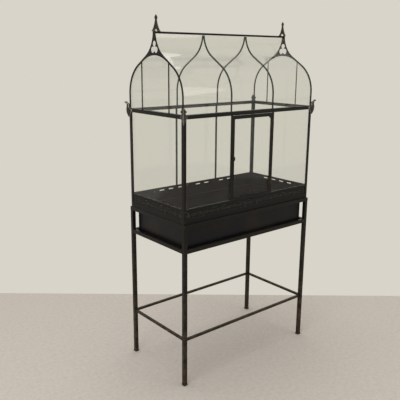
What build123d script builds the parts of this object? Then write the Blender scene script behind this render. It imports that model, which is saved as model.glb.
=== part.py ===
from build123d import *
from math import cos, radians, sin, sqrt
import os

# A glazed plant case with an ogee roof. It stands on a four-legged tube frame
# that also carries a lift-out planting tray. Millimetres, origin on the floor
# under the middle of the case, +X along the ridge, the door facing -Y, +Z up.

# Stand: the legs stand in plastic caps
STAND_LENGTH = 718
STAND_WIDTH = 374
STAND_HEIGHT = 686
TUBE = 16
TUBE_WALL = 1.2
TUBE_CORNER = 1.5
LOWER_RAIL_Z = 569.5
STRETCHER = 9.5
STRETCHER_Z = 203
FOOT_CAP = 18.6
FOOT_HEIGHT = 7
FOOT_FLOOR = 2
SUPPORT_BAR = (25, 4)
SUPPORT_SPACING = 210

# Tray
TRAY_LENGTH = 673
TRAY_WIDTH = 329
TRAY_HEIGHT = 117.5
TRAY_CORNER = 8
SHEET = 1.2
RIM = 9

# Glass case
CASE_LENGTH = 714
CASE_WIDTH = 360
BAND_HEIGHT = 61
BAND_PLATE = 3.4
PLINTH_HEIGHT = 20
PIERCING_Z = 49
PIERCING = (28, 4.2)
EAVE_TOP = 1102
EAVE_HEIGHT = 15
EAVE_LEG = 16
POST_LEG = 13
ANGLE_WALL = 1.6
GLASS = 3
GLASS_SETBACK = 1.8
BAY_X = 116
MULLION = 8.5
MULLION_DEPTH = 6.4
WEB = 3

# Roof, as a curve of half-widths: upright, shoulder arc, straight slope, neck arc
ROOF_HALF = 174.5
SHOULDER_Z = 1161
SHOULDER_RADIUS = 132
SLOPE = 31.9
SLOPE_LENGTH = 66.5
NECK_RADIUS = 110
NECK_END = 84
RIDGE_Z = 1395.5
RIDGE_RADIUS = 4
GABLE_BAR = 6.5
GABLE_PLATE = 3
ARCH_APEX = 1312.5
TREFOIL = ((0, 1354.5, 11), (10.5, 1332.6, 12))
TREFOIL_THROAT = (1343, 11, 22)
RIB_WEB = 2
RIB_PROUD = 1
RIB_FLANGE = 5
RIB_SEAT = 1.8
GABLE_LAP = 1.5
GLAZING_BAR = 3.2
GLAZING_BAR_Y = 88
PANE_JOINT = 0.8

# Finials and corner leaves
FINIAL_X = 346.5
FINIAL_HALF = 13.8
FINIAL_HEIGHT = 61
LEAF_FOOT = -36
LEAF_NECK = 17.5
LEAF_WRAP = 8
LEAF_BACK = 1.2

# Door, hinges and turn latch
CLEAR = 0.2
DOOR_GAP = 1.2
DOOR_BAR = 9.5
DOOR_TOP_BAR = 14
DOOR_GUSSET = 11
DOOR_REBATE = 5
HINGE_Z = (800, 1035)
HINGE_HEIGHT = 26
KNUCKLE = 2.4
PIN = 1.2
HINGE_LEAF = (6, 1)
LATCH_Z = 917
LATCH_INSET = 2.9
SHAFT = 1.5
TONGUE = (6, 15, 1.8)

HALF_L, HALF_W = CASE_LENGTH / 2, CASE_WIDTH / 2
BAND_TOP = STAND_HEIGHT + BAND_HEIGHT
EAVE_BOTTOM = EAVE_TOP - EAVE_HEIGHT
LEG_X, LEG_Y = (STAND_LENGTH - TUBE) / 2, (STAND_WIDTH - TUBE) / 2
SIDES = {"left": -1, "right": 1}
FACES = {"front": -1, "back": 1}
CORNERS = [(f"{f}_{s}", sx, sy) for f, sy in FACES.items() for s, sx in SIDES.items()]

os.makedirs("parts", exist_ok=True)


def save(piece, name):
    """Label one finished piece and write it to its STEP file."""
    piece.part.label = name
    export_step(piece.part, f"parts/{name}.step")


def save_apart(solids, name):
    """Write solids that touch but stay separate to one STEP file."""
    whole = Compound(list(solids))
    whole.label = name
    export_step(whole, f"parts/{name}.step")


def fascia_and_shelf(rail):
    """The two flats that an eave rail is welded up from."""
    seam = Plane.XY.offset(EAVE_TOP - ANGLE_WALL)
    flats = [rail.part.split(seam, keep=keep) for keep in (Keep.BOTTOM, Keep.TOP)]
    return [solid for flat in flats for solid in flat.solids()]


def roof_plane(x, side):
    """Upright plane across the case at x, with its own x pointing to one side."""
    return Plane(origin=(x, 0, 0), x_dir=(0, side, 0), z_dir=(side, 0, 0))


def square_tube(size, wall):
    """Square tube section, drawn at the current location."""
    RectangleRounded(size, size, TUBE_CORNER)
    Rectangle(size - 2 * wall, size - 2 * wall, mode=Mode.SUBTRACT)


# ---------------------------------------------------------------- stand

upper_z = STAND_HEIGHT - TUBE / 2
lower_z = LOWER_RAIL_Z + TUBE / 2

for corner, sx, sy in CORNERS:
    with BuildPart() as leg:
        with BuildSketch(Plane.XY.offset(FOOT_FLOOR)):
            with Locations((sx * LEG_X, sy * LEG_Y)):
                square_tube(TUBE, TUBE_WALL)
        extrude(amount=STAND_HEIGHT - TUBE - FOOT_FLOOR)
    save(leg, f"leg_{corner}")

foot_places = [(sx * LEG_X, sy * LEG_Y) for _, sx, sy in CORNERS]
with BuildPart() as foot_caps:
    with BuildSketch():
        with Locations(*foot_places):
            RectangleRounded(FOOT_CAP, FOOT_CAP, 2.5)
    extrude(amount=FOOT_HEIGHT)
    fillet(foot_caps.faces().filter_by(Axis.Z).edges(), 1)
    with BuildSketch(Plane.XY.offset(FOOT_FLOOR)):
        with Locations(*foot_places):
            RectangleRounded(TUBE + 0.1, TUBE + 0.1, TUBE_CORNER)
    extrude(amount=FOOT_HEIGHT, mode=Mode.SUBTRACT)
save(foot_caps, "foot_caps")

# The upper ring lies on the legs with mitred corners.
for face, sy in FACES.items():
    with BuildPart() as rail:
        with BuildSketch(Plane.YZ):
            with Locations((sy * LEG_Y, upper_z)):
                square_tube(TUBE, TUBE_WALL)
        extrude(amount=STAND_LENGTH / 2, both=True)
        for sx in SIDES.values():
            mitre = Plane((sx * STAND_LENGTH / 2, sy * STAND_WIDTH / 2, 0), z_dir=(sx, -sy, 0))
            split(bisect_by=mitre, keep=Keep.BOTTOM)
    save(rail, f"upper_rail_{face}")

for side, sx in SIDES.items():
    with BuildPart() as rail:
        with BuildSketch(Plane.XZ):
            with Locations((sx * LEG_X, upper_z)):
                square_tube(TUBE, TUBE_WALL)
        extrude(amount=STAND_WIDTH / 2, both=True)
        for sy in FACES.values():
            mitre = Plane((sx * STAND_LENGTH / 2, sy * STAND_WIDTH / 2, 0), z_dir=(-sx, sy, 0))
            split(bisect_by=mitre, keep=Keep.BOTTOM)
    save(rail, f"upper_rail_{side}")

# The lower ring and the stretchers butt against the legs.
for name, z, solid in (("lower_rail", lower_z, False), ("stretcher", STRETCHER_Z, True)):
    for face, sy in FACES.items():
        with BuildPart() as rail:
            with BuildSketch(Plane.YZ):
                with Locations((sy * LEG_Y, z)):
                    if solid:
                        Rectangle(STRETCHER, STRETCHER)
                    else:
                        square_tube(TUBE, TUBE_WALL)
            extrude(amount=LEG_X - TUBE / 2, both=True)
        save(rail, f"{name}_{face}")
    for side, sx in SIDES.items():
        with BuildPart() as rail:
            with BuildSketch(Plane.XZ):
                with Locations((sx * LEG_X, z)):
                    if solid:
                        Rectangle(STRETCHER, STRETCHER)
                    else:
                        square_tube(TUBE, TUBE_WALL)
            extrude(amount=LEG_Y - TUBE / 2, both=True)
        save(rail, f"{name}_{side}")

with BuildPart() as tray_supports:
    with BuildSketch(Plane.XY.offset(LOWER_RAIL_Z)):
        with GridLocations(SUPPORT_SPACING, 0, 3, 1):
            Rectangle(SUPPORT_BAR[0], 2 * LEG_Y - TUBE)
    extrude(amount=SUPPORT_BAR[1])
save(tray_supports, "tray_supports")

# ---------------------------------------------------------------- tray

tray_z = LOWER_RAIL_Z + SUPPORT_BAR[1]


def tray_outline(inset, mode=Mode.ADD):
    """The tray in plan, moved in from its outside face."""
    length, width = TRAY_LENGTH - 2 * inset, TRAY_WIDTH - 2 * inset
    RectangleRounded(length, width, TRAY_CORNER - inset, mode=mode)


def tray_wall(gaps):
    """Sheet wall of the tray with its rim folded back inside, less some rectangles in plan."""
    with BuildPart(mode=Mode.PRIVATE) as wall:
        for bottom, outside in ((SHEET, 0), (TRAY_HEIGHT - RIM, SHEET)):
            with BuildSketch(Plane.XY.offset(tray_z + bottom)):
                tray_outline(outside)
                tray_outline(outside + SHEET, Mode.SUBTRACT)
                for spot, length, width in gaps:
                    with Locations(spot):
                        Rectangle(length, width, mode=Mode.SUBTRACT)
            extrude(amount=TRAY_HEIGHT - bottom)
    return wall.part.solids()


# A floor, four flat walls and four rolled corners, welded edge to edge.
with BuildPart() as tray_floor:
    with BuildSketch(Plane.XY.offset(tray_z)):
        tray_outline(0)
    extrude(amount=SHEET)
flat_length, flat_width = TRAY_LENGTH - 2 * TRAY_CORNER, TRAY_WIDTH - 2 * TRAY_CORNER
middle = (0, 0)
at_corners = [
    ((sx * (TRAY_LENGTH - TRAY_CORNER) / 2, sy * (TRAY_WIDTH - TRAY_CORNER) / 2), TRAY_CORNER, TRAY_CORNER)
    for _, sx, sy in CORNERS
]
at_walls = [(middle, flat_length, TRAY_WIDTH), (middle, TRAY_LENGTH, flat_width)]
tray_solids = [*tray_floor.part.solids(), *tray_wall(at_corners), *tray_wall(at_walls)]
save_apart(tray_solids, "planting_tray")

# ---------------------------------------------------------------- case walls


# Mouldings on the plate: bottom, top and how far each stands proud.
MOULDINGS = (
    (0, PLINTH_HEIGHT, 1.6),
    (PLINTH_HEIGHT, PLINTH_HEIGHT + 2.5, 0.9),
    (BAND_HEIGHT - 6.5, BAND_HEIGHT, 1.4),
)


def band_panel(plane, length, moulding_length, slots, dots):
    """Cast base panel: plate, stepped plinth and top bead, pierced near its top.

    The plane stands on the panel's outer plane with its x along the panel."""
    plate = plane.offset(-GLASS_SETBACK)
    with BuildPart() as panel:
        with BuildSketch(plate):
            with Locations((0, BAND_HEIGHT / 2)):
                Rectangle(length, BAND_HEIGHT)
        extrude(amount=-BAND_PLATE)
        for low, high, proud in MOULDINGS:
            with BuildSketch(plate):
                with Locations((0, (low + high) / 2)):
                    Rectangle(moulding_length, high - low)
            extrude(amount=proud)
        with BuildSketch(plane):
            with Locations(*[(x, PIERCING_Z) for x in slots]):
                SlotOverall(*PIERCING)
            with Locations(*[(x, PIERCING_Z) for x in dots]):
                Circle(PIERCING[1] / 2)
        extrude(amount=-GLASS_SETBACK - 2 * BAND_PLATE, mode=Mode.SUBTRACT)
    return panel


FRONT_SLOTS = (-200, -150, -57, -6, 96, 150, 200)
FRONT_DOTS = (-240, -105, 55, 240)
END_SLOTS = (-75, -25, 25, 75)
END_DOTS = (-110, 110)

long_plate = CASE_LENGTH - 2 * GLASS_SETBACK
short_plate = CASE_WIDTH - 2 * (GLASS_SETBACK + BAND_PLATE + CLEAR)
long_moulding = CASE_LENGTH - 2 * (POST_LEG + CLEAR)
short_moulding = CASE_WIDTH - 2 * (POST_LEG + CLEAR)
for face, sy in FACES.items():
    wall = Plane((0, sy * HALF_W, STAND_HEIGHT), x_dir=(-sy, 0, 0), z_dir=(0, sy, 0))
    panel = band_panel(wall, long_plate, long_moulding, FRONT_SLOTS, FRONT_DOTS)
    save(panel, f"band_panel_{face}")
for side, sx in SIDES.items():
    wall = Plane((sx * HALF_L, 0, STAND_HEIGHT), x_dir=(0, sx, 0), z_dir=(sx, 0, 0))
    panel = band_panel(wall, short_plate, short_moulding, END_SLOTS, END_DOTS)
    save(panel, f"band_panel_{side}")

for corner, sx, sy in CORNERS:
    x0, y0 = sx * HALF_L, sy * HALF_W
    x1, y1 = x0 - sx * ANGLE_WALL, y0 - sy * ANGLE_WALL
    x2, y2 = x0 - sx * POST_LEG, y0 - sy * POST_LEG
    with BuildPart() as post:
        with BuildSketch(Plane.XY.offset(STAND_HEIGHT)):
            with BuildLine():
                Polyline((x0, y0), (x2, y0), (x2, y1), (x1, y1), (x1, y2), (x0, y2), close=True)
            make_face()
        extrude(amount=EAVE_BOTTOM - STAND_HEIGHT)
    save(post, f"corner_post_{corner}")


def eave_section(outer, side):
    """Angle section with its legs down the wall and inward along the top."""
    inner, back = outer - side * EAVE_LEG, outer - side * ANGLE_WALL
    shelf = EAVE_TOP - ANGLE_WALL
    with BuildSketch(Plane.XY, mode=Mode.PRIVATE) as section:
        with BuildLine():
            Polyline(
                (outer, EAVE_BOTTOM),
                (outer, EAVE_TOP),
                (inner, EAVE_TOP),
                (inner, shelf),
                (back, shelf),
                (back, EAVE_BOTTOM),
                close=True,
            )
        make_face()
    return section.sketch


for face, sy in FACES.items():
    with BuildPart() as rail:
        with BuildSketch(Plane.YZ):
            add(eave_section(sy * HALF_W, sy))
        extrude(amount=HALF_L, both=True)
        for sx in SIDES.values():
            mitre = Plane((sx * HALF_L, sy * HALF_W, 0), z_dir=(sx, -sy, 0))
            split(bisect_by=mitre, keep=Keep.BOTTOM)
    save_apart(fascia_and_shelf(rail), f"eave_rail_{face}")
for side, sx in SIDES.items():
    with BuildPart() as rail:
        with BuildSketch(Plane.XZ):
            add(eave_section(sx * HALF_L, sx))
        extrude(amount=HALF_W, both=True)
        for sy in FACES.values():
            mitre = Plane((sx * HALF_L, sy * HALF_W, 0), z_dir=(-sx, sy, 0))
            split(bisect_by=mitre, keep=Keep.BOTTOM)
    save_apart(fascia_and_shelf(rail), f"eave_rail_{side}")

for face, sy in FACES.items():
    for side, sx in SIDES.items():
        with BuildPart() as mullion:
            with BuildSketch(Plane.XY.offset(BAND_TOP)):
                with Locations((sx * BAY_X, sy * (HALF_W - ANGLE_WALL / 2))):
                    Rectangle(MULLION, ANGLE_WALL)
                with Locations((sx * BAY_X, sy * (HALF_W - MULLION_DEPTH / 2))):
                    Rectangle(WEB, MULLION_DEPTH)
            extrude(amount=EAVE_BOTTOM - BAND_TOP)
        save(mullion, f"mullion_{face}_{side}")

# ---------------------------------------------------------------- wall glass

glass_bottom, glass_top = BAND_TOP + CLEAR, EAVE_TOP - ANGLE_WALL - 2 * CLEAR
pane_end = HALF_L - GLASS_SETBACK - GLASS - CLEAR
web_clear = BAY_X + WEB / 2 + CLEAR
outer_bay = pane_end - web_clear
outer_bay_x = (pane_end + web_clear) / 2
glass_y = HALF_W - GLASS_SETBACK - GLASS / 2
with BuildPart() as front_panes:
    with BuildSketch(Plane.XY.offset(glass_bottom)):
        with Locations((-outer_bay_x, -glass_y), (outer_bay_x, -glass_y)):
            Rectangle(outer_bay, GLASS)
    extrude(amount=glass_top - glass_bottom)
save(front_panes, "front_panes")

with BuildPart() as back_panes:
    with BuildSketch(Plane.XY.offset(glass_bottom)):
        with Locations((-outer_bay_x, glass_y), (outer_bay_x, glass_y)):
            Rectangle(outer_bay, GLASS)
        with Locations((0, glass_y)):
            Rectangle(2 * (BAY_X - WEB / 2 - CLEAR), GLASS)
    extrude(amount=glass_top - glass_bottom)
save(back_panes, "back_panes")

with BuildPart() as end_panes:
    with BuildSketch(Plane.XY.offset(glass_bottom)):
        with GridLocations(CASE_LENGTH - 2 * GLASS_SETBACK - GLASS, 0, 2, 1):
            Rectangle(GLASS, CASE_WIDTH - 2 * (GLASS_SETBACK + CLEAR))
    extrude(amount=glass_top - glass_bottom)
save(end_panes, "end_panes")

# ---------------------------------------------------------------- roof

slope, neck_end = radians(SLOPE), radians(NECK_END)
shoulder_turn = 90 - SLOPE
shoulder_centre = (ROOF_HALF - SHOULDER_RADIUS, SHOULDER_Z)
slope_foot = (
    shoulder_centre[0] + SHOULDER_RADIUS * sin(slope),
    shoulder_centre[1] + SHOULDER_RADIUS * cos(slope),
)
slope_head = (
    slope_foot[0] - SLOPE_LENGTH * cos(slope),
    slope_foot[1] + SLOPE_LENGTH * sin(slope),
)
neck_centre = (
    slope_head[0] + NECK_RADIUS * sin(slope),
    slope_head[1] + NECK_RADIUS * cos(slope),
)


def roof_curve(offset):
    """One side of the ogee, moved outward by offset, from the eave to the neck."""
    foot = Line((ROOF_HALF + offset, EAVE_TOP), (ROOF_HALF + offset, SHOULDER_Z))
    shoulder = CenterArc(shoulder_centre, SHOULDER_RADIUS + offset, 0, shoulder_turn)
    neck = CenterArc(neck_centre, NECK_RADIUS - offset, 270 - SLOPE, SLOPE - NECK_END)
    Line(shoulder @ 1, neck @ 0)
    return foot @ 0, neck @ 1


def roof_band(low, high):
    """Closed band between two parallel ogee curves."""
    with BuildSketch(Plane.XY, mode=Mode.PRIVATE) as band:
        with BuildLine():
            inner_foot, inner_head = roof_curve(low)
            outer_foot, outer_head = roof_curve(high)
            Line(inner_foot, outer_foot)
            Line(inner_head, outer_head)
        make_face()
    return band.sketch


def arched_light(offset):
    """Half of the round-headed opening under the spandrel, offset from the bars."""
    edge = -GABLE_BAR / 2
    normal_reach = slope_foot[0] * sin(slope) + slope_foot[1] * cos(slope) + edge
    head_centre = (0, (ARCH_APEX - normal_reach) / (1 - cos(slope)))
    head_radius = ARCH_APEX - head_centre[1] + offset
    side = ROOF_HALF + edge + offset
    with BuildSketch(Plane.XY, mode=Mode.PRIVATE) as light:
        with BuildLine():
            foot = Line((side, EAVE_TOP), (side, SHOULDER_Z))
            radius = SHOULDER_RADIUS + edge + offset
            shoulder = CenterArc(shoulder_centre, radius, 0, shoulder_turn)
            head = CenterArc(head_centre, head_radius, shoulder_turn, SLOPE)
            Line(shoulder @ 1, head @ 0)
            Polyline(head @ 1, (0, EAVE_TOP), foot @ 0)
        make_face()
    return light.sketch


def ridge_rod(radius, half_length):
    """Round rod along the ridge, also used to cope whatever meets it."""
    with BuildPart(mode=Mode.PRIVATE) as rod:
        with BuildSketch(Plane.YZ):
            with Locations((0, RIDGE_Z)):
                Circle(radius)
        extrude(amount=half_length, both=True)
    return rod


gable_outer = HALF_L
gable_inner = gable_outer - GABLE_PLATE
plate_top = RIDGE_Z + RIDGE_RADIUS

for side, sx in SIDES.items():
    with BuildPart() as gable_frame:
        with BuildSketch(Plane((sx * gable_inner, 0, 0), x_dir=(0, sx, 0), z_dir=(sx, 0, 0))):
            with BuildLine():
                foot, head = roof_curve(GABLE_BAR / 2)
                Polyline(head, (head.X, plate_top), (0, plate_top), (0, EAVE_TOP), foot)
            make_face()
            add(arched_light(0), mode=Mode.SUBTRACT)
            for y, z, r in TREFOIL:
                with Locations((y, z)):
                    Circle(r, mode=Mode.SUBTRACT)
            throat_z, throat_width, throat_height = TREFOIL_THROAT
            with Locations((0, throat_z)):
                Rectangle(throat_width, throat_height, mode=Mode.SUBTRACT)
            mirror(about=Plane.YZ)
        extrude(amount=GABLE_PLATE)
    save(gable_frame, f"gable_frame_{side}")

    glass_face = sx * (gable_inner - CLEAR)
    with BuildPart() as gable_panes:
        with BuildSketch(Plane((glass_face, 0, 0), x_dir=(0, sx, 0), z_dir=(sx, 0, 0))):
            add(arched_light(GABLE_LAP))
            with Locations((GLAZING_BAR_Y, EAVE_TOP + ROOF_HALF / 2)):
                Rectangle(PANE_JOINT, 2 * ROOF_HALF, mode=Mode.SUBTRACT)
            mirror(about=Plane.YZ)
        extrude(amount=-GLASS)
    save(gable_panes, f"gable_panes_{side}")

with BuildPart() as gable_glazing_bars:
    for sx in SIDES.values():
        with BuildSketch(Plane((sx * gable_inner, 0, 0), x_dir=(0, sx, 0), z_dir=(sx, 0, 0))):
            add(arched_light(0))
            with Locations((GLAZING_BAR_Y, EAVE_TOP + ROOF_HALF / 2)):
                Rectangle(GLAZING_BAR, 2 * ROOF_HALF, mode=Mode.INTERSECT)
            mirror(about=Plane.YZ)
        extrude(amount=GABLE_PLATE - 0.6)
save(gable_glazing_bars, "gable_glazing_bars")

glass_low, glass_high = -GLASS / 2, GLASS / 2
for face, sy in FACES.items():
    for side, sx in SIDES.items():
        with BuildPart() as rib:
            with BuildSketch(roof_plane(sx * BAY_X, sy)):
                add(roof_band(glass_low, glass_high + RIB_PROUD))
            extrude(amount=RIB_WEB / 2, both=True)
            with BuildSketch(roof_plane(sx * BAY_X, sy)):
                add(roof_band(glass_low - RIB_SEAT, glass_low))
            extrude(amount=RIB_FLANGE / 2, both=True)
            add(ridge_rod(RIDGE_RADIUS, HALF_L).part, mode=Mode.SUBTRACT)
        save(rib, f"roof_rib_{face}_{side}")

    rib_clear = BAY_X + RIB_WEB / 2 + CLEAR
    roof_end = gable_inner - CLEAR
    bays = (
        (-(roof_end + rib_clear) / 2, roof_end - rib_clear),
        (0, 2 * (BAY_X - RIB_WEB / 2 - CLEAR)),
        ((roof_end + rib_clear) / 2, roof_end - rib_clear),
    )
    with BuildPart() as roof_panes:
        for x, width in bays:
            with BuildSketch(roof_plane(x, sy)):
                add(roof_band(glass_low + 0.05, glass_high))
            extrude(amount=width / 2, both=True)
        add(ridge_rod(RIDGE_RADIUS + 0.4, HALF_L).part, mode=Mode.SUBTRACT)
    save(roof_panes, f"roof_panes_{face}")

save(ridge_rod(RIDGE_RADIUS, gable_inner), "ridge_bar")

# ---------------------------------------------------------------- finials

finial_z = plate_top + CLEAR
DIAGONAL = 1 / sqrt(2)


def finial_outline():
    """Concave spire with a flared foot and a spear-shaped knob."""
    with BuildSketch(Plane.XY, mode=Mode.PRIVATE) as outline:
        with BuildLine():
            base = Line((0, 0), (FINIAL_HALF, 0))
            lip = Line(base @ 1, (FINIAL_HALF, 1.6))
            flank = Spline(lip @ 1, (7.2, 15.5), (3.8, 30), (2.4, 44), tangents=((-1, 0.7), (0, 1)))
            knob = Polyline(flank @ 1, (5.4, 48.5), (5.4, 49.6), (3.9, 54), (0.3, FINIAL_HEIGHT))
            Polyline(knob @ 1, (0, FINIAL_HEIGHT), base @ 0)
        make_face()
        mirror(about=Plane.YZ)
    return outline.sketch


def pointed_arch():
    """Gothic arch through the foot of the finial."""
    with BuildSketch(Plane.XY, mode=Mode.PRIVATE) as arch:
        with BuildLine():
            right = Line((5.6, -1), (5.6, 2.2))
            flank = RadiusArc(right @ 1, (0, 9.2), -9)
            Polyline(flank @ 1, (0, -1), right @ 0)
        make_face()
        mirror(about=Plane.YZ)
    return arch.sketch


for side, sx in SIDES.items():
    centre = (sx * FINIAL_X, 0, finial_z)
    faces = (
        Plane(centre, x_dir=(DIAGONAL, DIAGONAL, 0), z_dir=(DIAGONAL, -DIAGONAL, 0)),
        Plane(centre, x_dir=(DIAGONAL, -DIAGONAL, 0), z_dir=(-DIAGONAL, -DIAGONAL, 0)),
    )
    with BuildPart() as finial:
        with BuildSketch(faces[0]):
            add(finial_outline())
        extrude(amount=FINIAL_HALF, both=True)
        with BuildSketch(faces[1]):
            add(finial_outline())
        extrude(amount=FINIAL_HALF, both=True, mode=Mode.INTERSECT)
        for plane in faces:
            with BuildSketch(plane):
                add(pointed_arch())
            extrude(amount=2 * FINIAL_HALF, both=True, mode=Mode.SUBTRACT)
        # Stud from the spire down to the ridge rod.
        with BuildSketch(Plane(centre).offset(-2)):
            Circle(2.8)
        extrude(amount=14)
        add(ridge_rod(RIDGE_RADIUS, HALF_L).part, mode=Mode.SUBTRACT)
    save(finial, f"finial_{side}")

# ---------------------------------------------------------------- corner leaves

# Half outline seen from the diagonal, side profile and hooked tip, from the rail's top.
LEAF_FRONT = (
    (1.2, LEAF_FOOT),
    (5.5, -30),
    (9.5, -20),
    (13, -8),
    (12, 0),
    (8, 6.5),
    (8.5, 9.5),
    (11.6, 12.5),
    (10.5, 15.5),
    (7, LEAF_NECK),
)
LEAF_SIDE = ((1, LEAF_FOOT), (5, -28), (8.5, -18), (10, -8), (9.5, 2), (8.4, LEAF_NECK))
LEAF_HOOK = ((2, 14), (7.5, 15), (9, 19), (12, 21.2), (17.5, 21.6))
LEAF_HOOK_BACK = ((18.5, 23.4), (16.5, 25.4), (11.5, 26.6), (7, 25.6), (3.6, 22), (2, 17))


def corner_leaf(sx, sy):
    """One leaf folded round an eave corner, its tip hooked outward."""
    corner_point = Vector(sx * HALF_L, sy * HALF_W, EAVE_TOP)
    outward, up = Vector(sx, sy, 0).normalized(), Vector(0, 0, 1)
    facing = Plane(corner_point, x_dir=up.cross(outward), z_dir=outward)
    profile = Plane(corner_point, x_dir=outward, z_dir=outward.cross(up))
    block = 60
    with BuildPart(mode=Mode.PRIVATE) as leaf:
        with BuildSketch(facing):
            with BuildLine():
                blade = Polyline(*LEAF_FRONT)
                Polyline(blade @ 1, (0, LEAF_NECK), (0, LEAF_FOOT), blade @ 0)
            make_face()
            mirror(about=Plane.YZ)
        extrude(amount=block / 2, both=True)
        # Keep only what wraps closely round the outside of the corner.
        with BuildSketch(Plane.XY.offset(EAVE_TOP + LEAF_FOOT)):
            shift = LEAF_WRAP - block / 2
            with Locations((corner_point.X + sx * shift, corner_point.Y + sy * shift)):
                Rectangle(block, block)
        extrude(amount=LEAF_NECK - LEAF_FOOT, mode=Mode.INTERSECT)
        with BuildSketch(profile):
            with BuildLine():
                side = Spline(*LEAF_SIDE)
                Polyline(side @ 1, (-block, LEAF_NECK), (-block, LEAF_FOOT), side @ 0)
            make_face()
        extrude(amount=block / 2, both=True, mode=Mode.INTERSECT)
        with BuildSketch(Plane.XY.offset(EAVE_TOP)):
            with Locations((corner_point.X - sx * block / 2, corner_point.Y - sy * block / 2)):
                Rectangle(block, block)
        extrude(amount=-block, mode=Mode.SUBTRACT)
        back = Plane(corner_point - outward * LEAF_BACK, z_dir=-outward)
        split(bisect_by=back, keep=Keep.BOTTOM)
        with BuildSketch(profile):
            with BuildLine():
                under = Spline(*LEAF_HOOK)
                over = Spline(*LEAF_HOOK_BACK)
                Line(under @ 1, over @ 0)
                Line(over @ 1, under @ 0)
            make_face()
        extrude(amount=5, both=True)
    return leaf.part


leaves = [corner_leaf(sx, sy) for _, sx, sy in CORNERS]
with BuildPart() as corner_leaves:
    add(leaves)
save(corner_leaves, "corner_leaves")

# ---------------------------------------------------------------- door

door_half = BAY_X - MULLION / 2 - DOOR_GAP
door_low, door_high = BAND_TOP + DOOR_GAP, EAVE_BOTTOM - DOOR_GAP
door_height = door_high - door_low
door_plane = Plane((0, -HALF_W, (door_low + door_high) / 2), x_dir=(1, 0, 0), z_dir=(0, -1, 0))
latch_x = LATCH_INSET - door_half
latch_plane = Plane((latch_x, -HALF_W, LATCH_Z), x_dir=(1, 0, 0), z_dir=(0, -1, 0))

with BuildPart() as door_frame:
    with BuildSketch(door_plane):
        Rectangle(2 * door_half, door_height)
    extrude(amount=-MULLION_DEPTH)
    with BuildSketch(door_plane):
        with Locations((0, (DOOR_BAR - DOOR_TOP_BAR) / 2)):
            Rectangle(2 * (door_half - DOOR_BAR), door_height - DOOR_BAR - DOOR_TOP_BAR)
    extrude(amount=-MULLION_DEPTH, mode=Mode.SUBTRACT)
    with BuildSketch(door_plane):
        with Locations((door_half - DOOR_BAR, door_height / 2 - DOOR_TOP_BAR)):
            Polygon((0, 0), (-DOOR_GUSSET, 0), (0, -DOOR_GUSSET), align=None)
    extrude(amount=-ANGLE_WALL)
    with BuildSketch(door_plane.offset(-ANGLE_WALL)):
        Rectangle(2 * (door_half - DOOR_REBATE), door_height - 2 * DOOR_REBATE)
    extrude(amount=-MULLION_DEPTH, mode=Mode.SUBTRACT)
    with BuildSketch(latch_plane):
        Circle(SHAFT + 0.06)
    extrude(amount=-MULLION_DEPTH, mode=Mode.SUBTRACT)
save(door_frame, "door_frame")

with BuildPart() as door_glass:
    with BuildSketch(door_plane.offset(-GLASS_SETBACK)):
        rebate = DOOR_REBATE + CLEAR
        Rectangle(2 * (door_half - rebate), door_height - 2 * rebate)
    extrude(amount=-GLASS)
save(door_glass, "door_glass")

# Two butt hinges on the outside, each with its middle knuckle on the door.
hinge_x, hinge_y = door_half + DOOR_GAP / 2, -HALF_W - KNUCKLE - 0.25
leaf_width, leaf_thick = HINGE_LEAF
knuckle_gap = 0.3
third = HINGE_HEIGHT / 3
knuckles = {
    "fixed": ((0, third - knuckle_gap), (2 * third + knuckle_gap, HINGE_HEIGHT)),
    "door": ((third, 2 * third),),
}


def hinge_leaf(kind, side, bore):
    """Leaves of both hinges for one side of the joint, with their knuckles."""
    with BuildPart() as leaf:
        for z in HINGE_Z:
            base = z - HINGE_HEIGHT / 2
            with BuildSketch(Plane.XY.offset(base)):
                with Locations((hinge_x + side * leaf_width, -HALF_W - leaf_thick / 2)):
                    Rectangle(leaf_width, leaf_thick)
            extrude(amount=HINGE_HEIGHT)
            for low, high in knuckles[kind]:
                with BuildSketch(Plane.XY.offset(base + low)):
                    with Locations((hinge_x, hinge_y)):
                        Circle(KNUCKLE)
                    with Locations((hinge_x + side * leaf_width / 3, -HALF_W - leaf_thick / 2)):
                        Rectangle(2 * leaf_width / 3, leaf_thick)
                    with Locations((hinge_x, hinge_y)):
                        Circle(bore, mode=Mode.SUBTRACT)
                extrude(amount=high - low)
    return leaf


save(hinge_leaf("fixed", 1, PIN + 0.02), "hinge_leaves_case")
save(hinge_leaf("door", -1, PIN + 0.06), "hinge_leaves_door")

with BuildPart() as hinge_pins:
    for z in HINGE_Z:
        with BuildSketch(Plane.XY.offset(z - HINGE_HEIGHT / 2)):
            with Locations((hinge_x, hinge_y)):
                Circle(PIN)
        extrude(amount=HINGE_HEIGHT)
        for end, way in ((z - HINGE_HEIGHT / 2, -1), (z + HINGE_HEIGHT / 2, 1)):
            with BuildSketch(Plane.XY.offset(end)):
                with Locations((hinge_x, hinge_y)):
                    Circle(1.9)
            extrude(amount=way * 2.2, taper=25)
save(hinge_pins, "hinge_pins")

# Thumb turn: knob outside, shaft through the stile, tongue hanging inside.
with BuildPart() as latch_turn:
    with BuildSketch(latch_plane.offset(0.3)):
        Circle(2.6)
    extrude(amount=1.5)
    with BuildSketch(latch_plane.offset(1.8)):
        Circle(1.9)
    extrude(amount=3.2)
    with BuildSketch(latch_plane.offset(5)):
        Ellipse(3, 8)
    extrude(amount=5.5)
    fillet(latch_turn.faces().sort_by(Axis.Y)[0].edges(), 0.9)
    with BuildSketch(latch_plane.offset(0.3)):
        Circle(SHAFT)
    extrude(amount=-(MULLION_DEPTH + 0.6))
    with BuildSketch(latch_plane.offset(-MULLION_DEPTH - 0.3)):
        with Locations((0, 3 - TONGUE[1] / 2)):
            SlotOverall(TONGUE[1], TONGUE[0], rotation=90)
    extrude(amount=-TONGUE[2])
save(latch_turn, "latch_turn")
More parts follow.
